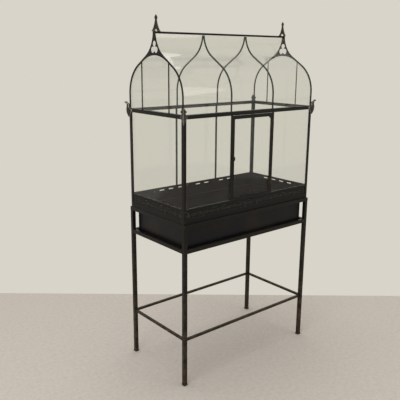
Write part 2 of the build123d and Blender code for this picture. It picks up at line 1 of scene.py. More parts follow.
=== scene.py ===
import logging
import math
from collections.abc import Callable, Iterable, Sequence
from dataclasses import dataclass, field
from enum import Enum

import bmesh
import bpy
from mathutils import Matrix, Vector


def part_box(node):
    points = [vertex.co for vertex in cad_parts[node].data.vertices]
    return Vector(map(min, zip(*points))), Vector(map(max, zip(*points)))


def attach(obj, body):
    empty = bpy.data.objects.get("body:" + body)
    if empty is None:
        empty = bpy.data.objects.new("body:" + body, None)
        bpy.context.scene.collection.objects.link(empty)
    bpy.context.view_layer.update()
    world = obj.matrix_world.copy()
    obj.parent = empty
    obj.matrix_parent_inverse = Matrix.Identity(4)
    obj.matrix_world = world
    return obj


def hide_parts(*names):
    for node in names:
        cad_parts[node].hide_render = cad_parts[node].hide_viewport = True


# The looks of a glazed plant case on its stand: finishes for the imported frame, and the cast,
# turned and welded work that the frame only blocks out. Metres, origin on the floor under the
# middle of the case, +X along the ridge, the door facing -Y, +Z up.

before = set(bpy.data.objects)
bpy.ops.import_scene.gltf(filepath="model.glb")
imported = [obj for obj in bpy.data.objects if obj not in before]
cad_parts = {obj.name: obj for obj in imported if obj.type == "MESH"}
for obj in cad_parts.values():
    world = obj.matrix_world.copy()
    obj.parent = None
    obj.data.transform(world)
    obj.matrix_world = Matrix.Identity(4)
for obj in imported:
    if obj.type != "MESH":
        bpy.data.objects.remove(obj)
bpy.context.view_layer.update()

LOG = logging.getLogger("plant_case")
MM = 0.001
TURN = 2 * math.pi
Colour = tuple[float, float, float]
Ring = list[Vector]


class Body(Enum):
    """The rigid bodies that pieces ride on."""

    STAND = "stand"
    TRAY = "tray"
    CASE = "case"
    DOOR = "door"
    LATCH = "latch"


class Slot(Enum):
    """The record's material slots."""

    STAND = "stand_coat"
    TRAY = "tray_coat"
    CASE = "case_coat"
    CAST = "cast_bronze"
    FITTING = "fitting_bronze"
    FOOT = "foot_plastic"
    GLASS = "glass"


class Side(Enum):
    """The four sides of the case, each with its outward direction."""

    FRONT = (0, -1)
    BACK = (0, 1)
    LEFT = (-1, 0)
    RIGHT = (1, 0)

    @property
    def node(self) -> str:
        """The side's word in the names of its nodes."""
        return self.name.lower()

    @property
    def outward(self) -> Vector:
        """Unit vector out of the side."""
        return Vector((*self.value, 0))

    @property
    def along(self) -> Vector:
        """Unit vector along the side, with Z and outward making a right-handed set."""
        return Vector((0, 0, 1)).cross(self.outward)


# ------------------------------------------------------------------ shader trees


class ShaderTree:
    """One material while its nodes are being laid out."""

    def __init__(self, name: str) -> None:
        """Start an empty node tree.

        Args:
            name: The material's name.
        """
        self.material = bpy.data.materials.new(name)
        self.material.use_nodes = True
        self.tree = self.material.node_tree
        self.tree.nodes.clear()

    def node(self, kind: str, inputs: dict | None = None, **settings: object) -> bpy.types.Node:
        """Add a node, set its options and feed its inputs.

        Args:
            kind: Blender's node type.
            inputs: Numbers, colours or sockets by input name or number.
            settings: Options of the node itself.

        Returns:
            The new node.
        """
        made = self.tree.nodes.new(kind)
        for option, value in settings.items():
            setattr(made, option, value)
        for socket, value in (inputs or {}).items():
            if isinstance(value, bpy.types.NodeSocket):
                self.tree.links.new(value, made.inputs[socket])
            elif isinstance(value, tuple):
                made.inputs[socket].default_value = (*value, 1.0)
            else:
                made.inputs[socket].default_value = value
        return made

    def place(self) -> bpy.types.NodeSocket:
        """Position in the object's own frame, in metres."""
        return self.node("ShaderNodeTexCoord").outputs["Object"]

    def noise(self, scale: float, detail: float = 3.0, rough: float = 0.55) -> bpy.types.NodeSocket:
        """Fractal noise.

        Args:
            scale: Features per metre.
            detail: Octaves.
            rough: How strong the finer octaves are.

        Returns:
            A value from 0 to 1.
        """
        inputs = {"Vector": self.place(), "Scale": scale, "Detail": detail, "Roughness": rough}
        return self.node("ShaderNodeTexNoise", inputs).outputs["Fac"]

    def level(
        self, value: bpy.types.NodeSocket, low: float, high: float, out: tuple[float, float] = (0.0, 1.0)
    ) -> bpy.types.NodeSocket:
        """Stretch a range of a value to another, clamped at its ends.

        Args:
            value: What is stretched.
            low: Goes to the first of out.
            high: Goes to the second of out.
            out: The range that comes out.

        Returns:
            The stretched value.
        """
        inputs = {"Value": value, 1: low, 2: high, 3: out[0], 4: out[1]}
        return self.node("ShaderNodeMapRange", inputs).outputs["Result"]

    def combine(self, first: object, second: object, operation: str = "MULTIPLY") -> bpy.types.NodeSocket:
        """Arithmetic on two values, clamped to 0 and 1."""
        inputs = {0: first, 1: second}
        return self.node("ShaderNodeMath", inputs, operation=operation, use_clamp=True).outputs[0]

    def blend(self, share: bpy.types.NodeSocket, first: object, second: object) -> bpy.types.NodeSocket:
        """Mix two colours, each a triple or a socket."""
        inputs = {"Factor": share, "A": first, "B": second}
        return self.node("ShaderNodeMix", inputs, data_type="RGBA").outputs["Result"]

    def normal(self) -> bpy.types.NodeSocket:
        """The surface's own shading normal."""
        return self.node("ShaderNodeNewGeometry").outputs["Normal"]

    def own_normal(self) -> bpy.types.NodeSocket:
        """The normal in the object's frame, which turns with its body."""
        return self.node("ShaderNodeTexCoord").outputs["Normal"]

    def eased(self, radius: float) -> bpy.types.NodeSocket:
        """A normal that rounds every edge by radius."""
        return self.node("ShaderNodeBevel", {"Radius": radius}, samples=6).outputs["Normal"]

    def edges(self, radius: float, reach: float = 0.06) -> bpy.types.NodeSocket:
        """A mask that is 1 on edges and corners and 0 on flat metal.

        Args:
            radius: How far from the edge it reaches.
            reach: How much bend counts as a full edge.

        Returns:
            The mask.
        """
        inputs = {0: self.eased(radius), 1: self.normal()}
        dot = self.node("ShaderNodeVectorMath", inputs, operation="DOT_PRODUCT").outputs["Value"]
        return self.level(dot, 1 - reach * 0.08, 1 - reach, (0.0, 1.0))

    def bumped(
        self, height: bpy.types.NodeSocket, depth: float, normal: bpy.types.NodeSocket | None = None
    ) -> bpy.types.NodeSocket:
        """Relief from a height, on top of a normal.

        Args:
            height: From 0 to 1.
            depth: What 1 stands for, in metres.
            normal: The normal to start from.

        Returns:
            The bumped normal.
        """
        inputs: dict = {"Height": height, "Distance": depth, "Strength": 1.0}
        if normal is not None:
            inputs["Normal"] = normal
        return self.node("ShaderNodeBump", inputs).outputs["Normal"]

    def skin(
        self, colour: object, rough: object, normal: object, metal: object = 0.0, shine: float = 0.5
    ) -> bpy.types.Material:
        """Finish with one opaque surface.

        Args:
            colour: Its base colour.
            rough: Its roughness.
            normal: Its normal.
            metal: How metallic it is.
            shine: Strength of its highlights.

        Returns:
            The material.
        """
        inputs = {"Base Color": colour, "Roughness": rough, "Normal": normal, "Metallic": metal}
        inputs["Specular IOR Level"] = shine
        return self.finish(self.node("ShaderNodeBsdfPrincipled", inputs))

    def finish(self, shader: bpy.types.Node) -> bpy.types.Material:
        """Join the last shader to the output and give back the material."""
        self.node("ShaderNodeOutputMaterial", {"Surface": shader.outputs[0]})
        return self.material


# ---------------------------------------------------------------------- finishes


@dataclass(frozen=True)
class RubbedCoat:
    """Satin black powder coat, rubbed through to brown-gold on its edges."""

    name: str
    colour: Colour
    cloud: Colour
    rubbed: Colour = (0.21, 0.15, 0.07)
    rub_width: float = 1.1 * MM
    rub: float = 0.55
    gloss: float = 0.34
    shine: float = 0.15
    low_wear: float = 0.0

    def material(self) -> bpy.types.Material:
        """Lay out the coat.

        Returns:
            The material.
        """
        tree = ShaderTree(self.name)
        clouds = tree.level(tree.noise(7, 4), 0.38, 0.68)
        breaks = tree.level(tree.noise(170, 5, 0.7), 0.42, 0.62)
        peel = tree.noise(1500, 2)
        rubbing = tree.level(breaks, 0, 1, (0.25 * self.rub, self.rub))
        worn = tree.combine(tree.edges(self.rub_width), rubbing)
        if self.low_wear:
            height = tree.node("ShaderNodeSeparateXYZ", {0: tree.place()}).outputs["Z"]
            low = tree.level(height, 0.62, 0.02, (0.0, self.low_wear))
            streaks = tree.level(tree.noise(34, 5, 0.65), 0.40, 0.70)
            worn = tree.combine(worn, tree.combine(low, streaks), "ADD")
        colour = tree.blend(worn, tree.blend(clouds, self.colour, self.cloud), self.rubbed)
        rough = tree.combine(tree.level(peel, 0.3, 0.7, (-0.04, 0.05)), self.gloss, "ADD")
        rough = tree.combine(rough, tree.combine(worn, 0.12), "ADD")
        relief = tree.bumped(peel, 0.02 * MM, tree.eased(0.5 * MM))
        return tree.skin(colour, rough, relief, tree.combine(worn, 0.45), self.shine)


@dataclass(frozen=True)
class AntiqueCasting:
    """Dark sand casting with bronze-gold rubbed onto everything that stands proud; where that gold is made
    pale and full, as on the corner leaves, it is partly a painted highlight.
    """

    name: str
    colour: Colour = (0.017, 0.016, 0.015)
    gold: Colour = (0.46, 0.37, 0.25)
    gilding: float = 0.85
    crest: tuple[float, float] = (0.505, 0.60)
    reach: float = 0.9 * MM
    shine: float = 0.35
    sculpted: bool = True

    def material(self) -> bpy.types.Material:
        """Lay out the casting's skin.

        Returns:
            The material.
        """
        tree = ShaderTree(self.name)
        grain = tree.noise(900, 4, 0.6)
        blotch = tree.level(tree.noise(120, 4), 0.36, 0.66)
        crests = tree.edges(self.reach, 0.12)
        if self.sculpted:
            proud = tree.level(tree.node("ShaderNodeNewGeometry").outputs["Pointiness"], *self.crest)
            crests = tree.combine(proud, crests, "MAXIMUM")
        # Gold on the crests: rubbed gilt, and where gold is pale and gilding full, partly a painted
        # highlight.
        gilt = tree.combine(crests, tree.level(blotch, 0, 1, (0.25 * self.gilding, self.gilding)))
        colour = tree.blend(gilt, self.colour, self.gold)
        rough = tree.level(grain, 0.3, 0.7, (0.36, 0.52))
        relief = tree.bumped(grain, 0.05 * MM, tree.eased(0.35 * MM))
        return tree.skin(colour, rough, relief, tree.combine(gilt, 0.55), self.shine)


@dataclass(frozen=True)
class SmoothSheet:
    """Folded sheet under smooth satin black, tinted blue as a painted reflection of window light, with faint
    brown clouding that is partly random mottling and partly a painted brown reflection.
    """

    name: str
    # The blue in colour is a painted reflection of window light; cloud is brown mottling and partly a
    # painted brown reflection.
    colour: Colour = (0.0030, 0.0034, 0.0056)
    cloud: Colour = (0.0095, 0.0074, 0.0056)
    rubbed: Colour = (0.12, 0.09, 0.06)

    def material(self) -> bpy.types.Material:
        """Lay out the sheet's coat.

        Returns:
            The material.
        """
        tree = ShaderTree(self.name)
        clouds = tree.level(tree.noise(11, 3), 0.45, 0.70)
        waves = tree.noise(4.5, 1)
        peel = tree.noise(1300, 2)
        worn = tree.combine(tree.edges(0.8 * MM), 0.35)
        relief = tree.bumped(waves, 1.2 * MM, tree.eased(0.5 * MM))
        # Painted reflections: the blue base and the brown clouds lay window and room reflections into the
        # sheet's colour.
        colour = tree.blend(worn, tree.blend(clouds, self.colour, self.cloud), self.rubbed)
        rough = tree.level(peel, 0.3, 0.7, (0.27, 0.35))
        return tree.skin(colour, rough, tree.bumped(peel, 0.012 * MM, relief), shine=0.20)


@dataclass(frozen=True)
class WornBronze:
    """Dark bronze fittings, bright where they rub."""

    name: str
    colour: Colour = (0.045, 0.036, 0.026)
    bright: Colour = (0.42, 0.33, 0.20)

    def material(self) -> bpy.types.Material:
        """Lay out the bronze.

        Returns:
            The material.
        """
        tree = ShaderTree(self.name)
        breaks = tree.level(tree.noise(420, 4, 0.65), 0.40, 0.62)
        worn = tree.combine(tree.edges(0.6 * MM, 0.10), tree.level(breaks, 0, 1, (0.3, 0.9)))
        rough = tree.level(tree.noise(800, 3), 0.3, 0.7, (0.30, 0.44))
        return tree.skin(tree.blend(worn, self.colour, self.bright), rough, tree.eased(0.3 * MM), 0.8)


@dataclass(frozen=True)
class MouldedPlastic:
    """Plain black moulded caps with a dusty bloom."""

    name: str
    colour: Colour = (0.012, 0.012, 0.012)
    bloom: Colour = (0.035, 0.033, 0.030)

    def material(self) -> bpy.types.Material:
        """Lay out the plastic.

        Returns:
            The material.
        """
        tree = ShaderTree(self.name)
        dust = tree.level(tree.noise(240, 4), 0.45, 0.75, (0.0, 0.5))
        texture = tree.noise(1800, 2)
        rough = tree.level(texture, 0.3, 0.7, (0.50, 0.66))
        relief = tree.bumped(texture, 0.05 * MM, tree.eased(0.5 * MM))
        return tree.skin(tree.blend(dust, self.colour, self.bloom), rough, relief, shine=0.35)


class Facing(Enum):
    """Which way the broad faces of a pane look."""

    X = "end"
    Y = "wall"
    ROOF = "roof"


@dataclass(frozen=True)
class FloatGlass:
    """Thin clear glass: a faint tint, mirror gloss, and sea-green cut edges."""

    facing: Facing
    tint: Colour = (0.970, 0.974, 0.962)
    cut: Colour = (0.13, 0.19, 0.165)
    gloss: float = 0.05
    head_on: float = 0.035

    def reflected(self, tree: ShaderTree) -> bpy.types.NodeSocket:
        """Share of light that a face throws back, alike from both of its sides.

        Args:
            tree: The material's tree.

        Returns:
            The share, by Schlick's rule.
        """
        surface = tree.node("ShaderNodeNewGeometry").outputs
        inputs = {0: surface["Normal"], 1: surface["Incoming"]}
        dot = tree.node("ShaderNodeVectorMath", inputs, operation="DOT_PRODUCT").outputs["Value"]
        square_on = tree.node("ShaderNodeMath", {0: dot}, operation="ABSOLUTE").outputs[0]
        grazing = tree.combine(tree.combine(1.0, square_on, "SUBTRACT"), 5, "POWER")
        return tree.combine(tree.combine(grazing, 1 - self.head_on), self.head_on, "ADD")

    def material(self) -> bpy.types.Material:
        """Lay out the glass.

        Returns:
            The material.
        """
        tree = ShaderTree(f"float_glass_{self.facing.name.lower()}")
        ripple = tree.bumped(tree.noise(9, 2), 0.25 * MM)
        clear = tree.node("ShaderNodeBsdfTransparent", {"Color": self.tint})
        mirror = tree.node("ShaderNodeBsdfGlossy", {"Roughness": self.gloss, "Normal": ripple})
        share = self.reflected(tree)
        broad = tree.node("ShaderNodeMixShader", {0: share, 1: clear.outputs[0], 2: mirror.outputs[0]})
        polish = {"Base Color": self.cut, "Roughness": 0.12, "Alpha": 0.5}
        edge = tree.node("ShaderNodeBsdfPrincipled", polish)
        across = tree.node("ShaderNodeSeparateXYZ", {0: tree.own_normal()})
        if self.facing is Facing.ROOF:
            is_edge = tree.combine(tree.combine(across.outputs["X"], 2, "POWER"), 0.5, "GREATER_THAN")
        else:
            along = across.outputs[self.facing.name]
            is_edge = tree.combine(tree.combine(along, along), 0.5, "LESS_THAN")
        surfaces = {0: is_edge, 1: broad.outputs[0], 2: edge.outputs[0]}
        return tree.finish(tree.node("ShaderNodeMixShader", surfaces))


@dataclass(frozen=True)
class PaleFloor:
    """Plain pale studio floor."""

    name: str = "pale_floor"
    colour: Colour = (0.585, 0.550, 0.525)
    shade: Colour = (0.510, 0.478, 0.455)

    def material(self) -> bpy.types.Material:
        """Lay out the floor.

        Returns:
            The material.
        """
        tree = ShaderTree(self.name)
        pile = tree.noise(60, 6, 0.7)
        colour = tree.blend(tree.level(pile, 0.35, 0.65), self.shade, self.colour)
        return tree.skin(colour, 0.95, tree.bumped(pile, 1.5 * MM), shine=0.1)


@dataclass(frozen=True)
class Palette:
    """Every finish on the object, laid out once."""

    stand: bpy.types.Material
    case: bpy.types.Material
    tray: bpy.types.Material
    cast: bpy.types.Material
    relief: bpy.types.Material
    leaf: bpy.types.Material
    spire: bpy.types.Material
    fitting: bpy.types.Material
    foot: bpy.types.Material
    glass: dict[Facing, bpy.types.Material]

    @classmethod
    def mixed(cls) -> "Palette":
        """Make the finishes.

        Returns:
            The palette.
        """
        return cls(
            stand=RubbedCoat(
                "stand_black", (0.0072, 0.0070, 0.0069), (0.0122, 0.0106, 0.0086), low_wear=0.36
            ).material(),
            case=RubbedCoat(
                "case_black", (0.0072, 0.0070, 0.0072), (0.0105, 0.0098, 0.0090), rub=0.30, gloss=0.30
            ).material(),
            tray=SmoothSheet("tray_black").material(),
            cast=AntiqueCasting(
                "band_casting", (0.0060, 0.0059, 0.0062), (0.10, 0.085, 0.06), 0.5,
                shine=0.16, sculpted=False,
            ).material(),
            relief=AntiqueCasting(
                "relief_casting", (0.0062, 0.0061, 0.0062), (0.13, 0.115, 0.085), 0.42, shine=0.22
            ).material(),
            # Corner leaves: the pale gold at full strength on their crests is partly rubbed gilt and partly
            # a painted highlight.
            leaf=AntiqueCasting(
                "leaf_casting", (0.011, 0.010, 0.009), (0.66, 0.60, 0.48), 1.0, (0.515, 0.575), shine=0.5
            ).material(),
            spire=AntiqueCasting(
                "finial_casting", (0.0105, 0.0100, 0.0095), (0.30, 0.24, 0.15), 0.6, shine=0.26
            ).material(),
            fitting=WornBronze("fitting_bronze").material(),
            foot=MouldedPlastic("cap_black").material(),
            glass={facing: FloatGlass(facing).material() for facing in Facing},
        )


# ------------------------------------------------------------------- mesh making


@dataclass
class Work:
    """Points and faces of one piece while it is being made."""

    points: list[Vector] = field(default_factory=list)
    faces: list[tuple[int, ...]] = field(default_factory=list)

    def loft(self, rings: Sequence[Ring], closed: bool = False) -> "Work":
        """Skin a row of rings that all have the same number of points.

        Args:
            rings: The rings, in order.
            closed: Join the last ring to the first in place of capping both.

        Returns:
            This piece.
        """
        start, count = len(self.points), len(rings[0])
        for ring in rings:
            self.points.extend(ring)
        spans = len(rings) if closed else len(rings) - 1
        for row in range(spans):
            here, there = start + row * count, start + (row + 1) % len(rings) * count
            for i in range(count):
                j = (i + 1) % count
                self.faces.append((here + i, here + j, there + j, there + i))
        if not closed:
            for ring, first, flip in ((rings[0], start, True), (rings[-1], start + spans * count, False)):
                self.cap(ring, first, flip)
        return self

    def cap(self, ring: Ring, first: int, flip: bool) -> None:
        """Close a ring with a fan about its middle.

        Args:
            ring: The ring's points.
            first: Number of its first point in the mesh.
            flip: Whether the fan faces the other way.
        """
        middle = len(self.points)
        self.points.append(sum(ring, Vector()) / len(ring))
        for i in range(len(ring)):
            pair = (first + i, first + (i + 1) % len(ring))
            self.faces.append((middle, *(reversed(pair) if flip else pair)))

    def rod(
        self, path: Sequence[Vector], radius: float | Callable[[float], float], sides: int = 8,
        closed: bool = False, flat: tuple[Vector, float] | None = None,
    ) -> "Work":
        """Sweep a round section along a path.

        Args:
            path: Points along the middle.
            radius: One radius, or a function of the share of the path gone by.
            sides: Points round the section.
            closed: The path is a loop.
            flat: A direction and the share of the radius that is kept along it.

        Returns:
            This piece.
        """
        last = len(path) - 1
        rings, side = [], None
        for i, point in enumerate(path):
            ahead = path[(i + 1) % len(path)] if closed or i < last else point
            behind = path[i - 1] if closed or i else point
            tangent = (ahead - behind).normalized()
            if side is None:
                side = tangent.orthogonal()
            side = (side - tangent * side.dot(tangent)).normalized()
            other = tangent.cross(side)
            reach = radius(i / last) if callable(radius) else radius
            ring = []
            for k in range(sides):
                angle = TURN * k / sides
                offset = reach * (math.cos(angle) * side + math.sin(angle) * other)
                if flat is not None:
                    offset -= flat[0] * offset.dot(flat[0]) * (1 - flat[1])
                ring.append(point + offset)
            rings.append(ring)
        return self.loft(rings, closed)

    def turned(self, profile: Sequence[tuple[float, float]], place: Matrix, sides: int = 24) -> "Work":
        """Turn a profile about the local Z of a place.

        Args:
            profile: Radius and height of each step.
            place: Where the piece stands.
            sides: Points round it.

        Returns:
            This piece.
        """
        rings = []
        for radius, height in profile:
            angles = (TURN * k / sides for k in range(sides))
            ring = [Vector((radius * math.cos(a), radius * math.sin(a), height)) for a in angles]
            rings.append([place @ p for p in ring])
        return self.loft(rings)

    def piece(
        self, name: str, finish: bpy.types.Material, body: Body, slot: Slot, crease: float = 38,
    ) -> bpy.types.Object:
        """Turn the work into an object that rides on its body.

        Args:
            name: The piece's name.
            finish: Its material.
            body: What it rides on.
            slot: Not used.
            crease: Edges sharper than this many degrees stay sharp.

        Returns:
            The object.
        """
        mesh = bpy.data.meshes.new(name)
        mesh.from_pydata([tuple(p) for p in self.points], [], self.faces)
        made = bpy.data.objects.new(name, mesh)
        bpy.context.scene.collection.objects.link(made)
        return settle(made, finish, body, crease)


def settle(
    made: bpy.types.Object, finish: bpy.types.Material, body: Body, crease: float
) -> bpy.types.Object:
    """Clean a mesh, shade it, dress it and put it on its body.

    Args:
        made: The object.
        finish: Its material.
        body: What it rides on.
        crease: Edges sharper than this many degrees stay sharp.

    Returns:
        The object.
    """
    work = bmesh.new()
    work.from_mesh(made.data)
    bmesh.ops.remove_doubles(work, verts=work.verts, dist=1e-6)
    bmesh.ops.recalc_face_normals(work, faces=work.faces)
    for face in work.faces:
        face.smooth = True
    for edge in work.edges:
        edge.smooth = len(edge.link_faces) == 2 and edge.calc_face_angle(0) < math.radians(crease)
    work.to_mesh(made.data)
    work.free()
    made.data.materials.clear()
    made.data.materials.append(finish)
    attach(made, body.value)
    LOG.info("made %s with %d faces", made.name, len(made.data.polygons))
    return made


def carved(base: bpy.types.Object, cutters: Iterable[bpy.types.Object]) -> bpy.types.Object:
    """Cut pieces out of an object and drop the cutters.

    Args:
        base: What is cut.
        cutters: What is taken away.

    Returns:
        The cut object.
    """
    for cutter in cutters:
        cut = base.modifiers.new("cut", "BOOLEAN")
        cut.operation, cut.solver, cut.object = "DIFFERENCE", "EXACT", cutter
        depsgraph = bpy.context.evaluated_depsgraph_get()
        mesh = bpy.data.meshes.new_from_object(base.evaluated_get(depsgraph))
        base.modifiers.clear()
        base.data = mesh
        bpy.data.objects.remove(cutter)
    return base


def raw(work: Work, name: str) -> bpy.types.Object:
    """A bare object from unfinished work, for carving.

    Args:
        work: The unfinished piece.
        name: The bare object's name.

    Returns:
        The object, with its faces turned outward.
    """
    mesh = bpy.data.meshes.new(name)
    mesh.from_pydata([tuple(p) for p in work.points], [], work.faces)
    bare = bmesh.new()
    bare.from_mesh(mesh)
    bmesh.ops.recalc_face_normals(bare, faces=bare.faces)
    bare.to_mesh(mesh)
    bare.free()
    made = bpy.data.objects.new(name, mesh)
    bpy.context.scene.collection.objects.link(made)
    return made


def eased(values: Sequence[tuple[float, ...]], share: float) -> tuple[float, ...]:
    """Read a smooth curve through evenly spaced rows of numbers.

    Args:
        values: The rows.
        share: From 0 at the first row to 1 at the last.

    Returns:
        The numbers there, by Catmull and Rom's cubic.
    """
    span = share * (len(values) - 1)
    i = min(int(span), len(values) - 2)
    t = span - i
    rows = [values[min(max(k, 0), len(values) - 1)] for k in (i - 1, i, i + 1, i + 2)]
    return tuple(
        0.5 * (2 * b + (c - a) * t + (2 * a - 5 * b + 4 * c - d) * t**2 + (3 * b - a - 3 * c + d) * t**3)
        for a, b, c, d in zip(*rows)
    )


def facing_out(point: Vector, outward: Vector) -> Matrix:
    """A place at point whose Z looks along outward."""
    return Matrix.Translation(point) @ outward.to_track_quat("Z", "Y").to_matrix().to_4x4()


# --------------------------------------------------------------------- the frame


@dataclass(frozen=True)
class CasePlan:
    """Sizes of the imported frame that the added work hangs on."""

    half_length: float
    half_width: float
    eave_top: float
    band_low: float
    band_high: float
    post: float
    finial_seat: float
    finial_x: float
    finial_height: float

    @classmethod
    def read(cls) -> "CasePlan":
        """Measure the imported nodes.

        Returns:
            The plan.
        """
        eave_low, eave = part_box("eave_rail_front")
        low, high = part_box("band_panel_front")
        base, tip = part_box("finial_right")
        _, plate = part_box("gable_frame_right")
        post_low, post_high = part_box("corner_post_front_right")
        return cls(
            half_length=eave.x,
            half_width=-eave_low.y,
            eave_top=eave.z,
            band_low=low.z,
            band_high=high.z,
            post=post_high.x - post_low.x,
            finial_seat=plate.z,
            finial_x=(base.x + tip.x) / 2,
            finial_height=tip.z - plate.z,
        )


def dress(nodes: Iterable[str], finish: bpy.types.Material) -> None:
    """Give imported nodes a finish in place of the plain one.

    Args:
        nodes: The nodes' names.
        finish: The material.
    """
    for name in nodes:
        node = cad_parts[name]
        if not node.data.materials:
            node.data.materials.append(finish)
        for slot in node.material_slots:
            slot.link = "OBJECT"
            slot.material = finish
        LOG.info("dressed %s", name)


@dataclass
class Stand:
    """The welded tube stand with its caps."""

    finishes: Palette
    bead: float = 1.5 * MM
    ripple: float = 3.2 * MM

    def dress(self) -> None:
        """Finish the tubes, bars and caps."""
        kinds = ("upper_rail", "lower_rail", "stretcher")
        rails = [f"{kind}_{side.node}" for kind in kinds for side in Side]
        legs = [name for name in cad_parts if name.startswith("leg_")]
        dress([*rails, *legs, "tray_supports"], self.finishes.stand)
        dress(["foot_caps"], self.finishes.foot)

    def bead_round(self, work: Work, end: Vector, along: Vector, size: float) -> None:
        """Lay one weld bead round the end of a square bar.

        Args:
            work: The piece that the bead joins.
            end: Middle of the bar's end.
            along: Direction of the bar.
            size: Side of the bar.
        """
        across = Vector((0, 0, 1)).cross(along)
        corner = 0.12 * size
        path = []
        for turn in range(4):
            for step in range(9):
                angle = TURN * (turn + step / 8) / 4
                centre = TURN * (turn + 0.5) / 4
                reach = size / 2 - corner
                x = math.copysign(reach, math.cos(centre)) + corner * math.cos(angle)
                z = math.copysign(reach, math.sin(centre)) + corner * math.sin(angle)
                path.append(end + across * x + Vector((0, 0, z)))
        fine = []
        for here, there in zip(path, path[1:] + path[:1]):
            count = max(1, int((there - here).length / (0.25 * self.ripple)))
            fine.extend(here.lerp(there, k / count) for k in range(count))
        total = len(fine) - 1
        bumps = round(4 * size / self.ripple)
        work.rod(
            fine, lambda s: self.bead * (0.72 + 0.16 * math.cos(TURN * bumps * s * total / len(fine))),
            sides=6, closed=True,
        )

    def welds(self) -> None:
        """Weld beads where the rails and stretchers meet the legs."""
        work = Work()
        for kind in ("lower_rail", "stretcher"):
            for side in Side:
                low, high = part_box(f"{kind}_{side.node}")
                middle = (low + high) / 2
                size = high.z - low.z
                for way in (-1, 1):
                    along = side.along * way
                    reach = abs((high - low).dot(along)) / 2
                    self.bead_round(work, middle + along * reach, along, size)
        for leg in (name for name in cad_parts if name.startswith("leg_")):
            low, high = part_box(leg)
            top = Vector(((low.x + high.x) / 2, (low.y + high.y) / 2, high.z))
            half = (high.x - low.x) / 2
            inward = Vector((-math.copysign(1, top.x), -math.copysign(1, top.y), 0))
            for axis in (Vector((inward.x, 0, 0)), Vector((0, inward.y, 0))):
                run = Vector((0, 0, 1)).cross(axis)
                path = [top + axis * half + run * half * 0.9 * (k / 10 - 1) for k in range(21)]
                work.rod(path, lambda s: self.bead * (0.6 + 0.15 * math.cos(TURN * 6 * s)), sides=6)
        work.piece("stand_weld_beads", self.finishes.stand, Body.STAND, Slot.STAND, 60)

    def build(self) -> None:
        """Dress the stand and add its welds."""
        self.dress()
        self.welds()


@dataclass
class PlantingTray:
    """The lift-out tray."""

    finishes: Palette

    def build(self) -> None:
        """Finish the sheet."""
        dress(["planting_tray"], self.finishes.tray)


